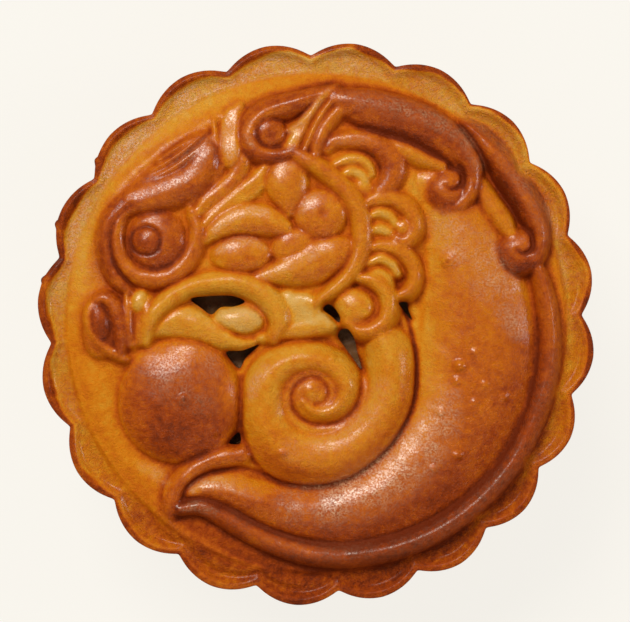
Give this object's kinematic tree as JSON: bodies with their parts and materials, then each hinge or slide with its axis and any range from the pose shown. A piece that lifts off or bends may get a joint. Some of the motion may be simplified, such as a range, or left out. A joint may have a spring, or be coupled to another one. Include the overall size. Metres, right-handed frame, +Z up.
{
  "type": "mooncake",
  "caption": "Round baked mooncake with a scalloped rim, a fluted wall and a moulded curled beast on top; dark filling shows between open folds.",
  "frame": {"origin": "middle of the outline's box, on the flat base that the cake stands on", "axes": "+Z up out of the moulded top; +X to the right and +Y to the top of the figure as seen from above"},
  "size_m": [0.0774, 0.0782, 0.0316],
  "materials": {
    "crust": "egg-washed baked dough, golden to brown",
    "filling": "dark moist bean paste"
  },
  "bodies": {
    "root": {"crust": "crust", "filling": "filling"}
  },
  "joints": []
}
